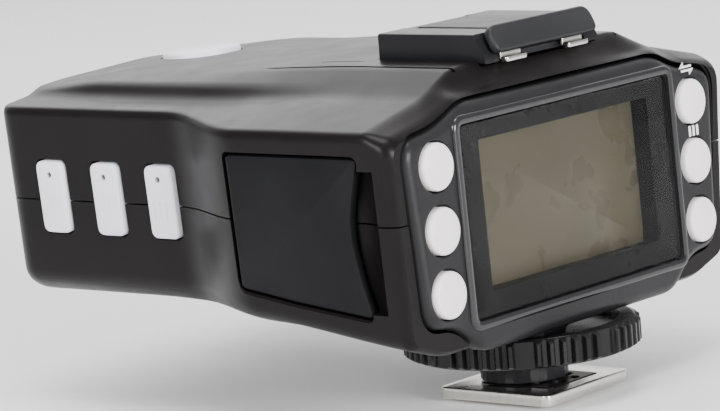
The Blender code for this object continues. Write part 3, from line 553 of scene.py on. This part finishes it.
def lcd_paint():
    paint = Paint("lcd", (0.13, 0.115, 0.075), 0.28, Specular_IOR_Level=0.15)
    paint.colour(paint.noise(22, 2, 0.5), (0.075, 0.065, 0.042), (0.088, 0.077, 0.050))
    paint.rough(paint.noise(160, 3), 0.24, 0.34)
    paint.bump(paint.cells(2600), 0.12, 0.000008)
    return paint.made


def glass_paint():
    paint = Paint("window_clear", (1.0, 1.0, 1.0), 0.03, Transmission_Weight=1.0, IOR=1.12)
    paint.rough(paint.noise(120, 3), 0.02, 0.045)
    return paint.made


LCD = lcd_paint()
GLASS = glass_paint()
BY_SLOT = {
    "shell_black": SHELL, "panel_grey": PANEL, "lens_black": BORDER, "lcd_grey": LCD, "key_white": WHITE,
    "rubber_black": WHEEL, "nickel": NICKEL, "steel": STEEL, "brass": GOLD, "shoe_black": SHOE,
    "board_green": BOARD, "cell_wrap": CELL,
}


def paint(obj, material):
    obj.data.materials.clear()
    obj.data.materials.append(material)
    return obj


def stands_for(obj, material, node, *others, angle=32.0):
    """Finishes a piece that is shown in place of CAD nodes, and lets it ride with them."""
    paint(obj, material)
    smooth(obj, angle)
    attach(obj, BODY_OF[node])
    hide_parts(node, *others)
    return obj


def goes_on(obj, material, node, angle=32.0):
    """Finishes a detail that rides with a node's body without replacing it."""
    paint(obj, material)
    smooth(obj, angle)
    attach(obj, BODY_OF[node])
    return obj


# ------------------------------------------------------------ casings

SCREW_PLACES = ((-19.5, 60.6), (19.5, 60.6), (-24.2, 4.8), (24.2, 4.8))
SWITCH_PLACE = (9.4, 23.6)
USB_PLACE = (12.0, 32.6)
JACK_PLACE = (6.0, 22.4)


def make_casings():
    shell = outer_form("shell")
    cut(shell, inner_form("cavity"))
    panel_hole = grow(panel_outline(), PANEL_GAP)
    cut(shell, flared("panel_opening", panel_hole, PANEL_THICK + 0.6, 0.12, 6.0,
                      face_frame() @ Matrix.Translation((0, 0, -0.85))))
    door = outer_form("battery_door_piece")
    hinge_z = wall_foot(HINGE_Y) - 1.25
    cut(door, box("door_core", (-45, -25, wall_foot(40) - 0.2), (45, 85, 60), None, True))
    blank = box("door_blank", (-DOOR_HALF, DOOR_REAR, 8), (DOOR_HALF, HINGE_Y, 19), None, True)
    boolean(door, blank, "INTERSECT")
    ends = (-DOOR_HALF, HINGE_Y, hinge_z), (DOOR_HALF, HINGE_Y, hinge_z)
    join(door, rod("door_barrel", 1.0, *ends, False, 32))
    join(door, box("door_rib", (-10, DOOR_REAR + 1.2, 15.9), (10, DOOR_REAR + 2.4, 17.2)))
    for i in range(5):
        y = DOOR_REAR + 3.6 + 1.1 * i
        cut(door, box("door_grip", (-6, y, 8.0), (6, y + 0.5, 14.75 + 0.05 * i), None, True))
    half = DOOR_HALF + FIT
    opening = box("door_opening", (-half, DOOR_REAR - FIT, 8), (half, HINGE_Y, 19), None, True)
    clearance = rod("hinge_clear", 1.35, (-half, HINGE_Y, hinge_z), (half, HINGE_Y, hinge_z))
    cut(shell, opening, clearance)
    upper = bpy.data.objects.new("top_casing_piece", shell.data.copy())
    lower = bpy.data.objects.new("bottom_casing_piece", shell.data.copy())
    for half in (upper, lower):
        bpy.context.scene.collection.objects.link(half)
    bpy.data.objects.remove(shell)
    boolean(upper, box("upper_keep", (-60, -30, SEAM_Z + 0.1), (60, 90, 80), None, True), "INTERSECT")
    boolean(lower, box("lower_keep", (-60, -30, -10), (60, 90, SEAM_Z - 0.1), None, True), "INTERSECT")
    return upper, lower, door


def fit_roof(upper):
    """Shoe seat, test key ring, deck lines and posts."""
    pad = box("shoe_pad", (-14.5, -4.3, SHOE_FLOOR - 2.9), (14.5, SHOE_FRONT + 2.0, SHOE_FLOOR - 0.9))
    join(upper, pad)
    cut(upper, box("shoe_seat", (-12.8, -6.9, SHOE_FLOOR - 1.1), (12.8, SHOE_FRONT + 0.3, 60), None, True))
    ring = flared("test_opening", circle(TEST_KEY_RADIUS + 0.3, 96), 6.0, 0.2, 5.0,
                  roof_frame(TEST_KEY_Y, roof_height(TEST_KEY_Y), TEST_KEY_TILT))
    cut(upper, ring)
    for side in (-1, 1):
        x = side * 18.0
        cut(upper, box("deck_line", (x - 0.22, -6.0, 45.9), (x + 0.22, 33.0, 60.0), None, True))
        x = side * 14.4
        cut(upper, box("rail_line", (x - 0.2, SHOE_FRONT + 1.0, 46.35), (x + 0.2, 21.0, 60.0), None, True))
    for x, y in SCREW_PLACES:
        join(upper, rod("screw_post", 2.6, (x, y, SEAM_Z + 0.1), (x, y, 42.4), False, 24))
        cut(upper, rod("post_hole", 1.3, (x, y, 20), (x, y, 37)))


def fit_floor(lower):
    """Foot collar and screw bosses."""
    join(lower, rod("foot_collar", 12.0, (0, POST_Y, 10.1), (0, POST_Y, 14.3), False, 96))
    cut(lower, rod("post_bore", 6.3, (0, POST_Y, 5), (0, POST_Y, 20), True, 64))
    trim_levels = [(-PANEL_THICK - 0.6, 0), (8, 0)]
    cut(lower, prism("collar_trim", grow(panel_outline(), PANEL_GAP), trim_levels, face_frame(), True))
    for side in (-1, 1):
        a, b = sorted((side * (DOOR_HALF + FIT), side * (DOOR_HALF + 3.2)))
        join(lower, box("hinge_ear", (a, HINGE_Y - 2.2, 15.9), (b, HINGE_Y + 1.8, 18.4)))
    for x, y in SCREW_PLACES:
        join(lower, rod("screw_boss", 2.6, (x, y, wall_foot(y) - 0.7), (x, y, SEAM_Z - 0.4), False, 24))
        cut(lower, rod("screw_hole", 1.4, (x, y, 5), (x, y, 40), True, 24))
        cut(lower, rod("screw_sink", 2.2, (x, y, 5), (x, y, wall_foot(y) - 0.4), True, 32))


def cut_sides(upper, lower):
    width, height = GROUP_KEY_SIZE
    cutters = []
    for y in GROUP_KEY_Y:
        hole = rectangle(width + 0.5, height + 0.5, 1.3)
        cutters.append(flared("group_hole", hole, 5, 0.12, 5, wall_frame(y, GROUP_KEY_Z)))
    scoop = rod("finger_scoop", 4.2, (21.2, -20.2, 2.45), (21.4, -1.4, 2.45), True, 96)
    moved(scoop, flap_frame())
    cutters.append(scoop)
    cutters.append(flared("flap_recess", flap_outline(0.3), FLAP_THICK + 0.3, 0.16, 4, flap_frame()))
    through = [(-6, 0), (2, 0)]
    cutters.append(prism("usb_hole", rectangle(9.0, 5.0, 0.8), through, wall_frame(*USB_PLACE), True))
    cutters.append(prism("jack_hole", circle(3.4, 48), through, wall_frame(*JACK_PLACE), True))
    for casing in (upper, lower):
        cut(casing, *cutters)
    cut(lower, flared("switch_slot", rectangle(8.4, 3.4, 1.2), 5, 0.2, 5, wall_frame(*SWITCH_PLACE, side=1)))


top_piece, bottom_piece, door_piece = make_casings()
fit_roof(top_piece)
fit_floor(bottom_piece)
cut_sides(top_piece, bottom_piece)
stands_for(top_piece, SHELL, "top_casing")
stands_for(bottom_piece, SHELL, "bottom_casing")
stands_for(door_piece, SHELL, "battery_door")

# ------------------------------------------------------------ rear panel


def make_panel():
    width, height = LENS_SIZE
    outline = panel_outline()
    levels = [(-PANEL_THICK, -0.3), (-PANEL_THICK + 0.3, 0.0), (-1.5, 0.0)]
    edge = 1.5
    turns = (0.3, 0.6, 0.9, 1.2, 1.4, math.pi / 2)
    levels += [(-edge * (1 - math.sin(a)), -edge * (1 - math.cos(a))) for a in turns]
    panel = prism("rear_panel_piece", outline, levels, face_frame())
    window = rectangle(width - 2.6, height - 2.2, 1.0)
    cut(panel, prism("window", window, [(-6, 0), (3, 0)], face_frame(), True))
    for _, x, z in key_places():
        cut(panel, flared("key_hole", circle(KEY_RADIUS + 0.25, 64), 6.0, 0.28, 3.0, face_frame(x, z)))
    seat = rectangle(width + 0.5, height + 0.5, 1.2)
    cut(panel, prism("lens_seat", seat, [(-1.35, 0), (3, 0)], face_frame(), True))
    stands_for(panel, PANEL, "rear_panel")
    rim_levels = [(-0.9, 0.0), (0.1, 0.0), (0.32, -0.12), (0.45, -0.4)]
    rim_levels += [(0.45, -0.85), (0.3, -1.2), (-0.2, -1.33), (-0.9, -1.33)]
    outer = rectangle(width + 3.2, height + 3.0, 2.2, steps=8)
    bm = bmesh.new()
    rings = [[bm.verts.new((p.x, p.y, z)) for p in grow(outer, g)] for z, g in rim_levels]
    for a, b in zip(rings, rings[1:] + rings[:1]):
        for i in range(len(a)):
            j = (i + 1) % len(a)
            bm.faces.new((a[i], a[j], b[j], b[i]))
    rim = to_object("window_rim_piece", bm, face_frame())
    goes_on(rim, RIM, "rear_panel", 40)


def make_window():
    width, height = LENS_SIZE
    lens_levels = rounded_levels(-0.55, 0.1, 0.15, 3)
    lens = prism("display_window", rectangle(width, height, 1.0), lens_levels, face_frame())
    stands_for(lens, GLASS, "display_lens", angle=40)
    active = rectangle(37.6, 19.8, 0.3, (0.0, 0.35))
    outline = rectangle(width - 0.1, height - 0.1, 0.9)
    border = prism("window_border_piece", outline, [(-1.15, 0), (-0.6, 0)], face_frame())
    cut(border, prism("border_hole", active, [(-3, 0), (1, 0)], face_frame(), True))
    goes_on(border, BORDER, "display_lens")
    wall = prism("display_well", grow(active, 0.9), [(-3.38, 0), (-1.2, 0)], face_frame())
    cut(wall, prism("well_hole", active, [(-6, 0), (1, 0)], face_frame(), True))
    goes_on(wall, BORDER, "display_lens")
    lcd_levels = rounded_levels(-5.2, -3.4, 0.1, 2)
    lcd = prism("lcd_glass", rectangle(42.0, 21.4, 0.3, (0, 0.5)), lcd_levels, face_frame())
    stands_for(lcd, LCD, "lcd_panel", angle=40)


def make_panel_keys():
    r = KEY_RADIUS
    profile = [(0, -5.0), (1.3, -5.0), (1.3, -4.1), (3.6, -4.1), (3.6, -3.35), (r, -3.35), (r, 0.2)]
    profile += [(r - 0.06, 0.42), (r - 0.22, 0.6), (r - 0.5, 0.70)]
    profile += [(r * 0.55, 0.80), (r * 0.25, 0.84), (0, 0.85)]
    for name, x, z in key_places():
        key = lathe(name + "_piece", profile, 72, face_frame(x, z))
        stands_for(key, WHITE, name, angle=50)


make_panel()
make_window()
make_panel_keys()

# ------------------------------------------------------------ side keys, flap, switch


def make_group_keys():
    width, height = GROUP_KEY_SIZE
    for bars, letter, y in zip((3, 2, 1), "cba", GROUP_KEY_Y):
        name = f"group_{letter}_key"
        levels = [(-WALL - 1.1, 0.0), (0.25, 0.0), (0.42, -0.08), (0.54, -0.25), (0.6, -0.5)]
        place = wall_frame(y, GROUP_KEY_Z)
        key = prism(name + "_piece", rectangle(width, height, 1.2), levels, place)
        cut(key, prism("light_hole", circle(0.42, 24, (0, 3.2)), [(-1.0, 0), (3, 0)], place, True))
        for i in range(bars):
            x = (i - (bars - 1) / 2) * 1.1
            mark = rectangle(0.42, 2.6, 0.2, (x, -1.2), 4)
            cut(key, prism("mark", mark, [(0.5, 0), (3, 0)], place, True))
        stands_for(key, WHITE_SIDE, name, angle=40)
        profile = [(0, -0.9), (0.4, -0.9), (0.4, 0.15), (0.25, 0.3), (0, 0.35)]
        light = lathe(name + "_light", profile, 24, place @ Matrix.Translation((0, 3.2, 0)))
        goes_on(light, DARK, name)


def make_flap():
    levels = [(-FLAP_THICK, -0.1), (-FLAP_THICK + 0.1, 0.0), (-0.3, 0.0), (-0.12, -0.08), (0.0, -0.3)]
    flap = prism("port_flap_piece", flap_outline(), levels, flap_frame())
    half = FLAP_THICK / 2
    trim = box("flap_trim", (-2, -30, -4), (half, 3, 3), None, True)
    moved(trim, flap_frame())
    cut(flap, trim)
    knuckle = rod("flap_knuckle", half, (half, -0.3, -half), (half, -17.6, -half), False, 32)
    join(flap, moved(knuckle, flap_frame()))
    stands_for(flap, RUBBER, "port_flap", angle=35)


def make_switch():
    place = wall_frame(SWITCH_PLACE[0] - 1.8, SWITCH_PLACE[1], side=1)
    levels = [(-2.9, 0), (0.5, 0), (0.7, -0.08), (0.8, -0.25)]
    knob = prism("power_switch_piece", rectangle(4.0, 2.7, 0.9), levels, place)
    for i in range(3):
        groove = rectangle(0.35, 4.0, 0.05, (i - 1.0, 0))
        cut(knob, prism("knob_groove", groove, [(0.45, 0), (3, 0)], place, True))
    join(knob, prism("switch_skirt", rectangle(8.0, 5.4, 0.4), [(-3.6, 0), (-2.6, 0)], place))
    stands_for(knob, RUBBER, "power_switch")


make_group_keys()
make_flap()
make_switch()

# ------------------------------------------------------------ roof


def make_test_key():
    r = TEST_KEY_RADIUS
    profile = [(0, -4.6), (1.5, -4.6), (1.5, -3.5), (r + 0.9, -3.5), (r + 0.9, -2.7), (r, -2.7), (r, 0.2)]
    profile += [(r - 0.08, 0.42), (r - 0.3, 0.6), (r - 0.7, 0.7), (r * 0.6, 0.82), (r * 0.3, 0.88), (0, 0.9)]
    key = lathe("test_key_piece", profile, 96, roof_frame(TEST_KEY_Y, roof_height(TEST_KEY_Y), TEST_KEY_TILT))
    stands_for(key, WHITE_SIDE, "test_key", angle=50)


def make_shoe():
    floor = SHOE_FLOOR
    under = floor + 2.15
    top = under + 0.9
    corners = [
        (-12.5, floor - 0.8, 0.3), (12.5, floor - 0.8, 0.3), (12.5, top, 0.4), (6.3, top, 0.3),
        (6.3, under, 0.3),
        (9.4, under, 0.1), (9.4, floor, 0.1), (-9.4, floor, 0.1), (-9.4, under, 0.1), (-6.3, under, 0.3),
        (-6.3, top, 0.3), (-12.5, top, 0.4),
    ]
    outline = rounded(corners, 4)
    swap = Matrix(((1, 0, 0, 0), (0, 0, 1, 0), (0, 1, 0, 0), (0, 0, 0, 1)))
    rail_levels = [(SHOE_REAR, 0), (SHOE_FRONT - 0.1, 0), (SHOE_FRONT, -0.1)]
    rails = prism("shoe_rails_piece", outline, rail_levels, swap)
    cut(rails, box("spring_room", (-9.5, -9, floor - 3), (9.5, -4.3, floor + 6), None, True))
    join(rails, box("shoe_stop", (-9.8, SHOE_FRONT - 1.2, floor - 0.4), (9.8, SHOE_FRONT, top - 0.1)))
    slant = box("rail_slant", (-20, -6, -9), (20, 0, 9), None, True)
    moved(slant, Matrix.Translation((0, -3.4, top)) @ Euler((math.radians(-30), 0, 0)).to_matrix().to_4x4())
    cut(rails, slant)
    stands_for(rails, SHOE, "shoe_rails")
    inner = SHOE_FRONT - 1.6
    for name, side in (("left_shoe_spring", -1), ("right_shoe_spring", 1)):
        a = min(side * 4.6, side * 9.1)
        b = a + 4.5
        spring = box(name + "_piece", (a, -4.9, floor + 0.25), (b, inner, floor + 0.55), radius=0.08)
        join(spring, box("riser", (a + 0.01, -5.2, floor - 0.6), (b - 0.01, -4.7, floor + 0.5), radius=0.1))
        join(spring, box("tab", (a, -6.3, floor - 0.95), (b, -4.95, floor - 0.2), radius=0.2))
        stands_for(spring, NICKEL, name, angle=40)
    cover = box("shoe_cover_piece", (-9.1, -4.3, floor + 0.75), (9.1, inner, floor + 1.85), radius=0.15)
    join(cover, box("spine", (-5.9, -4.3, floor + 1.0), (5.9, inner, top + 0.1), radius=0.2))
    lean = Matrix.Translation((0, -6.6, floor + 0.8)) @ Euler((math.radians(63), 0, 0)).to_matrix().to_4x4()
    lip_outline = rounded([(-11.2, 0.0, 1.2), (11.2, 0.0, 1.2), (11.2, 3.8, 2.0), (-11.2, 3.8, 2.0)], 8)
    join(cover, prism("lip", lip_outline, rounded_levels(-1.3, 0.0, 0.4, 4), lean))
    join(cover, box("neck", (-8.5, -5.8, floor + 0.9), (8.5, -3.0, floor + 1.75)))
    stands_for(cover, COVER, "shoe_cover", angle=40)


make_test_key()
make_shoe()

# ------------------------------------------------------------ foot


def wheel_outline():
    root, tip = WHEEL_RADIUS - 0.75, WHEEL_RADIUS
    pitch = math.radians(6.3)
    flank = [(-0.33, root), (-0.24, root + 0.25), (-0.2, tip - 0.15), (-0.12, tip)]
    crest = [(-angle, radius) for angle, radius in reversed(flank)]
    points = []
    for group in range(8):
        start = math.tau * group / 8
        for rib in range(6):
            middle = start + rib * pitch
            for angle, radius in flank + crest:
                a = middle + angle * pitch
                points.append(Vector((radius * math.cos(a), radius * math.sin(a))))
        for k in range(1, 5):
            a = start + 5.33 * pitch + (math.tau / 8 - 5.66 * pitch) * k / 5
            points.append(Vector((root * math.cos(a), root * math.sin(a))))
    return points


def make_foot():
    levels = [(WHEEL_BOTTOM, -0.2), (WHEEL_BOTTOM + 0.2, 0.0), (WHEEL_TOP - 0.2, 0.0), (WHEEL_TOP, -0.2)]
    wheel = prism("locking_wheel_piece", wheel_outline(), levels, Matrix.Translation((0, POST_Y, 0)))
    place = Matrix.Translation((0, POST_Y, 0))
    edge = [(-1.7, -2.0), (-1.1, 0.02), (-0.3, 0.35), (0.5, 0.9)]
    lower = [(WHEEL_RADIUS + r, WHEEL_BOTTOM + z) for r, z in edge]
    upper = [(WHEEL_RADIUS + r, WHEEL_TOP - z) for r, z in reversed(edge)]
    bevel = [(0, WHEEL_BOTTOM - 2)] + lower + upper + [(0, WHEEL_TOP + 2)]
    boolean(wheel, lathe("wheel_bevel", bevel, 128, place, True), "INTERSECT")
    dish = [(0, WHEEL_TOP - 1.0), (WHEEL_RADIUS - 3.2, WHEEL_TOP - 1.0)]
    dish += [(WHEEL_RADIUS - 2.6, WHEEL_TOP + 1), (0, WHEEL_TOP + 1)]
    cut(wheel, lathe("wheel_dish", dish, 96, place, True))
    cut(wheel, lathe("wheel_bore", [(0, 0), (6.4, 0), (6.4, 30), (0, 30)], 96, place, True))
    under = [(0, 0), (9.4, 0), (9.4, WHEEL_BOTTOM + 0.35), (0, WHEEL_BOTTOM + 0.35)]
    cut(wheel, lathe("wheel_recess", under, 96, place, True))
    stands_for(wheel, WHEEL, "locking_wheel", angle=40)
    half_x, half_y = high("foot_plate").x, high("foot_plate").y
    corners = [(half_x, half_y, 1.1), (-half_x, half_y, 1.1), (-half_x, -half_y, 1.1), (half_x, -half_y, 1.1)]
    plate_levels = rounded_levels(0.0, high("foot_plate").z, 0.22, 3)
    plate = prism("foot_plate_piece", rounded(corners, 3), plate_levels)
    cut(plate, prism("plate_window", rectangle(11.0, 12.0, 1.0, (0, -0.9)), [(-1, 0), (3, 0)], None, True))
    cut(plate, rod("plate_pin_hole", 1.2, (0, 6.9, -1), (0, 6.9, 3), True, 32))
    stands_for(plate, NICKEL, "foot_plate", angle=40)


make_foot()

# ------------------------------------------------------------ printed icons


def icon(name, outline, x, z):
    made = prism(name, outline, [(-0.1, 0), (0.04, 0)], face_frame(x, z))
    return goes_on(made, ICON, "rear_panel")


def make_icons():
    """Generic printed marks by the right-hand keys: a two-way arrow, and two bars."""
    arrow = [(-1.6, 0.0), (-0.7, 0.75), (-0.7, 0.25), (1.2, 0.25), (1.2, -0.05), (-1.6, -0.05)]
    upper = [Vector(p) for p in arrow]
    lower = [Vector((-x, -y)) for x, y in arrow]
    icon("arrow_upper", upper, KEY_X - 0.2, KEY_PITCH + 4.75)
    icon("arrow_lower", lower, KEY_X - 0.2, KEY_PITCH + 4.4)
    icon("bar_left", rectangle(0.5, 1.5, 0.2), KEY_X - 0.7, 4.15)
    icon("bar_middle", rectangle(0.5, 1.5, 0.2), KEY_X + 0.2, 4.15)
    icon("bar_right", rectangle(0.5, 1.5, 0.2), KEY_X + 1.1, 4.15)


make_icons()

# ------------------------------------------------------------ the rest of the CAD nodes

for name, node in NODES.items():
    if not node.hide_render:
        paint(node, BY_SLOT[SLOT_OF[name]])
        smooth(node, 30)
for cutter in CUTTERS:
    bpy.data.objects.remove(cutter)

# ------------------------------------------------------------ floor, light, camera


def make_floor():
    bm = bmesh.new()
    bmesh.ops.create_grid(bm, x_segments=1, y_segments=1, size=1500)
    floor = to_object("floor", bm, Matrix.Translation((0, 0, -0.55)))
    cover = Paint("floor_white", (0.86, 0.86, 0.86), 0.7)
    cover.colour(cover.noise(2, 2), (0.85, 0.85, 0.85), (0.87, 0.87, 0.87))
    paint(floor, cover.made)


def make_backdrop():
    bm = bmesh.new()
    bmesh.ops.create_grid(bm, x_segments=1, y_segments=1, size=1800)
    turn = Matrix.Rotation(math.radians(-50), 4, "Z") @ Matrix.Rotation(math.pi / 2, 4, "X")
    backdrop = to_object("backdrop", bm, Matrix.Translation((900, 760, 600)) @ turn)
    glow = Paint("backdrop_white", (0.9, 0.9, 0.9), 0.8, Emission_Strength=0.35)
    glow.set("Emission Color", (1.0, 1.0, 1.0, 1.0))
    glow.colour(glow.noise(2, 2), (0.89, 0.89, 0.89), (0.91, 0.91, 0.91))
    paint(backdrop, glow.made)


def area(name, place, target, size, power, colour=(1, 1, 1)):
    light = bpy.data.lights.new(name, "AREA")
    light.shape = "RECTANGLE"
    light.size, light.size_y = size
    light.energy = power
    light.color = colour
    made = bpy.data.objects.new(name, light)
    bpy.context.scene.collection.objects.link(made)
    made.location = place
    made.rotation_euler = (Vector(target) - Vector(place)).to_track_quat("-Z", "Y").to_euler()
    return made


def make_light():
    world = bpy.data.worlds.new("studio")
    bpy.context.scene.world = world
    world.use_nodes = True
    world.node_tree.nodes["Background"].inputs["Color"].default_value = (1, 1, 1, 1)
    world.node_tree.nodes["Background"].inputs["Strength"].default_value = 0.55
    area("top_softbox", (0.35, 0.35, 0.42), (0, 0.03, 0.04), (0.6, 0.5), 2.0)
    area("over_softbox", (-0.10, -0.05, 0.75), (0, 0.03, 0.03), (0.35, 0.35), 4.5)
    area("left_softbox", (-0.9, 0.1, 0.35), (0, 0.03, 0.03), (0.3, 0.3), 7.0)
    area("front_softbox", (-0.25, -0.9, 0.25), (0, 0, 0.03), (0.3, 0.3), 15.0)


def make_camera():
    camera = bpy.data.cameras.new("camera")
    camera.sensor_width = 36
    camera.sensor_fit = "HORIZONTAL"
    camera.lens = 191.49
    camera.clip_start = 0.01
    made = bpy.data.objects.new("camera", camera)
    bpy.context.scene.collection.objects.link(made)
    right = Vector((0.63081, -0.77211, -0.07695))
    up = Vector((0.16740, 0.03858, 0.98512))
    back = Vector((-0.75766, -0.63431, 0.15360))
    matrix = Matrix((right, up, back)).transposed().to_4x4()
    matrix.translation = (-0.4039, -0.3098, 0.1060)
    made.matrix_world = matrix
    bpy.context.scene.camera = made


make_floor()
make_backdrop()
make_light()
make_camera()
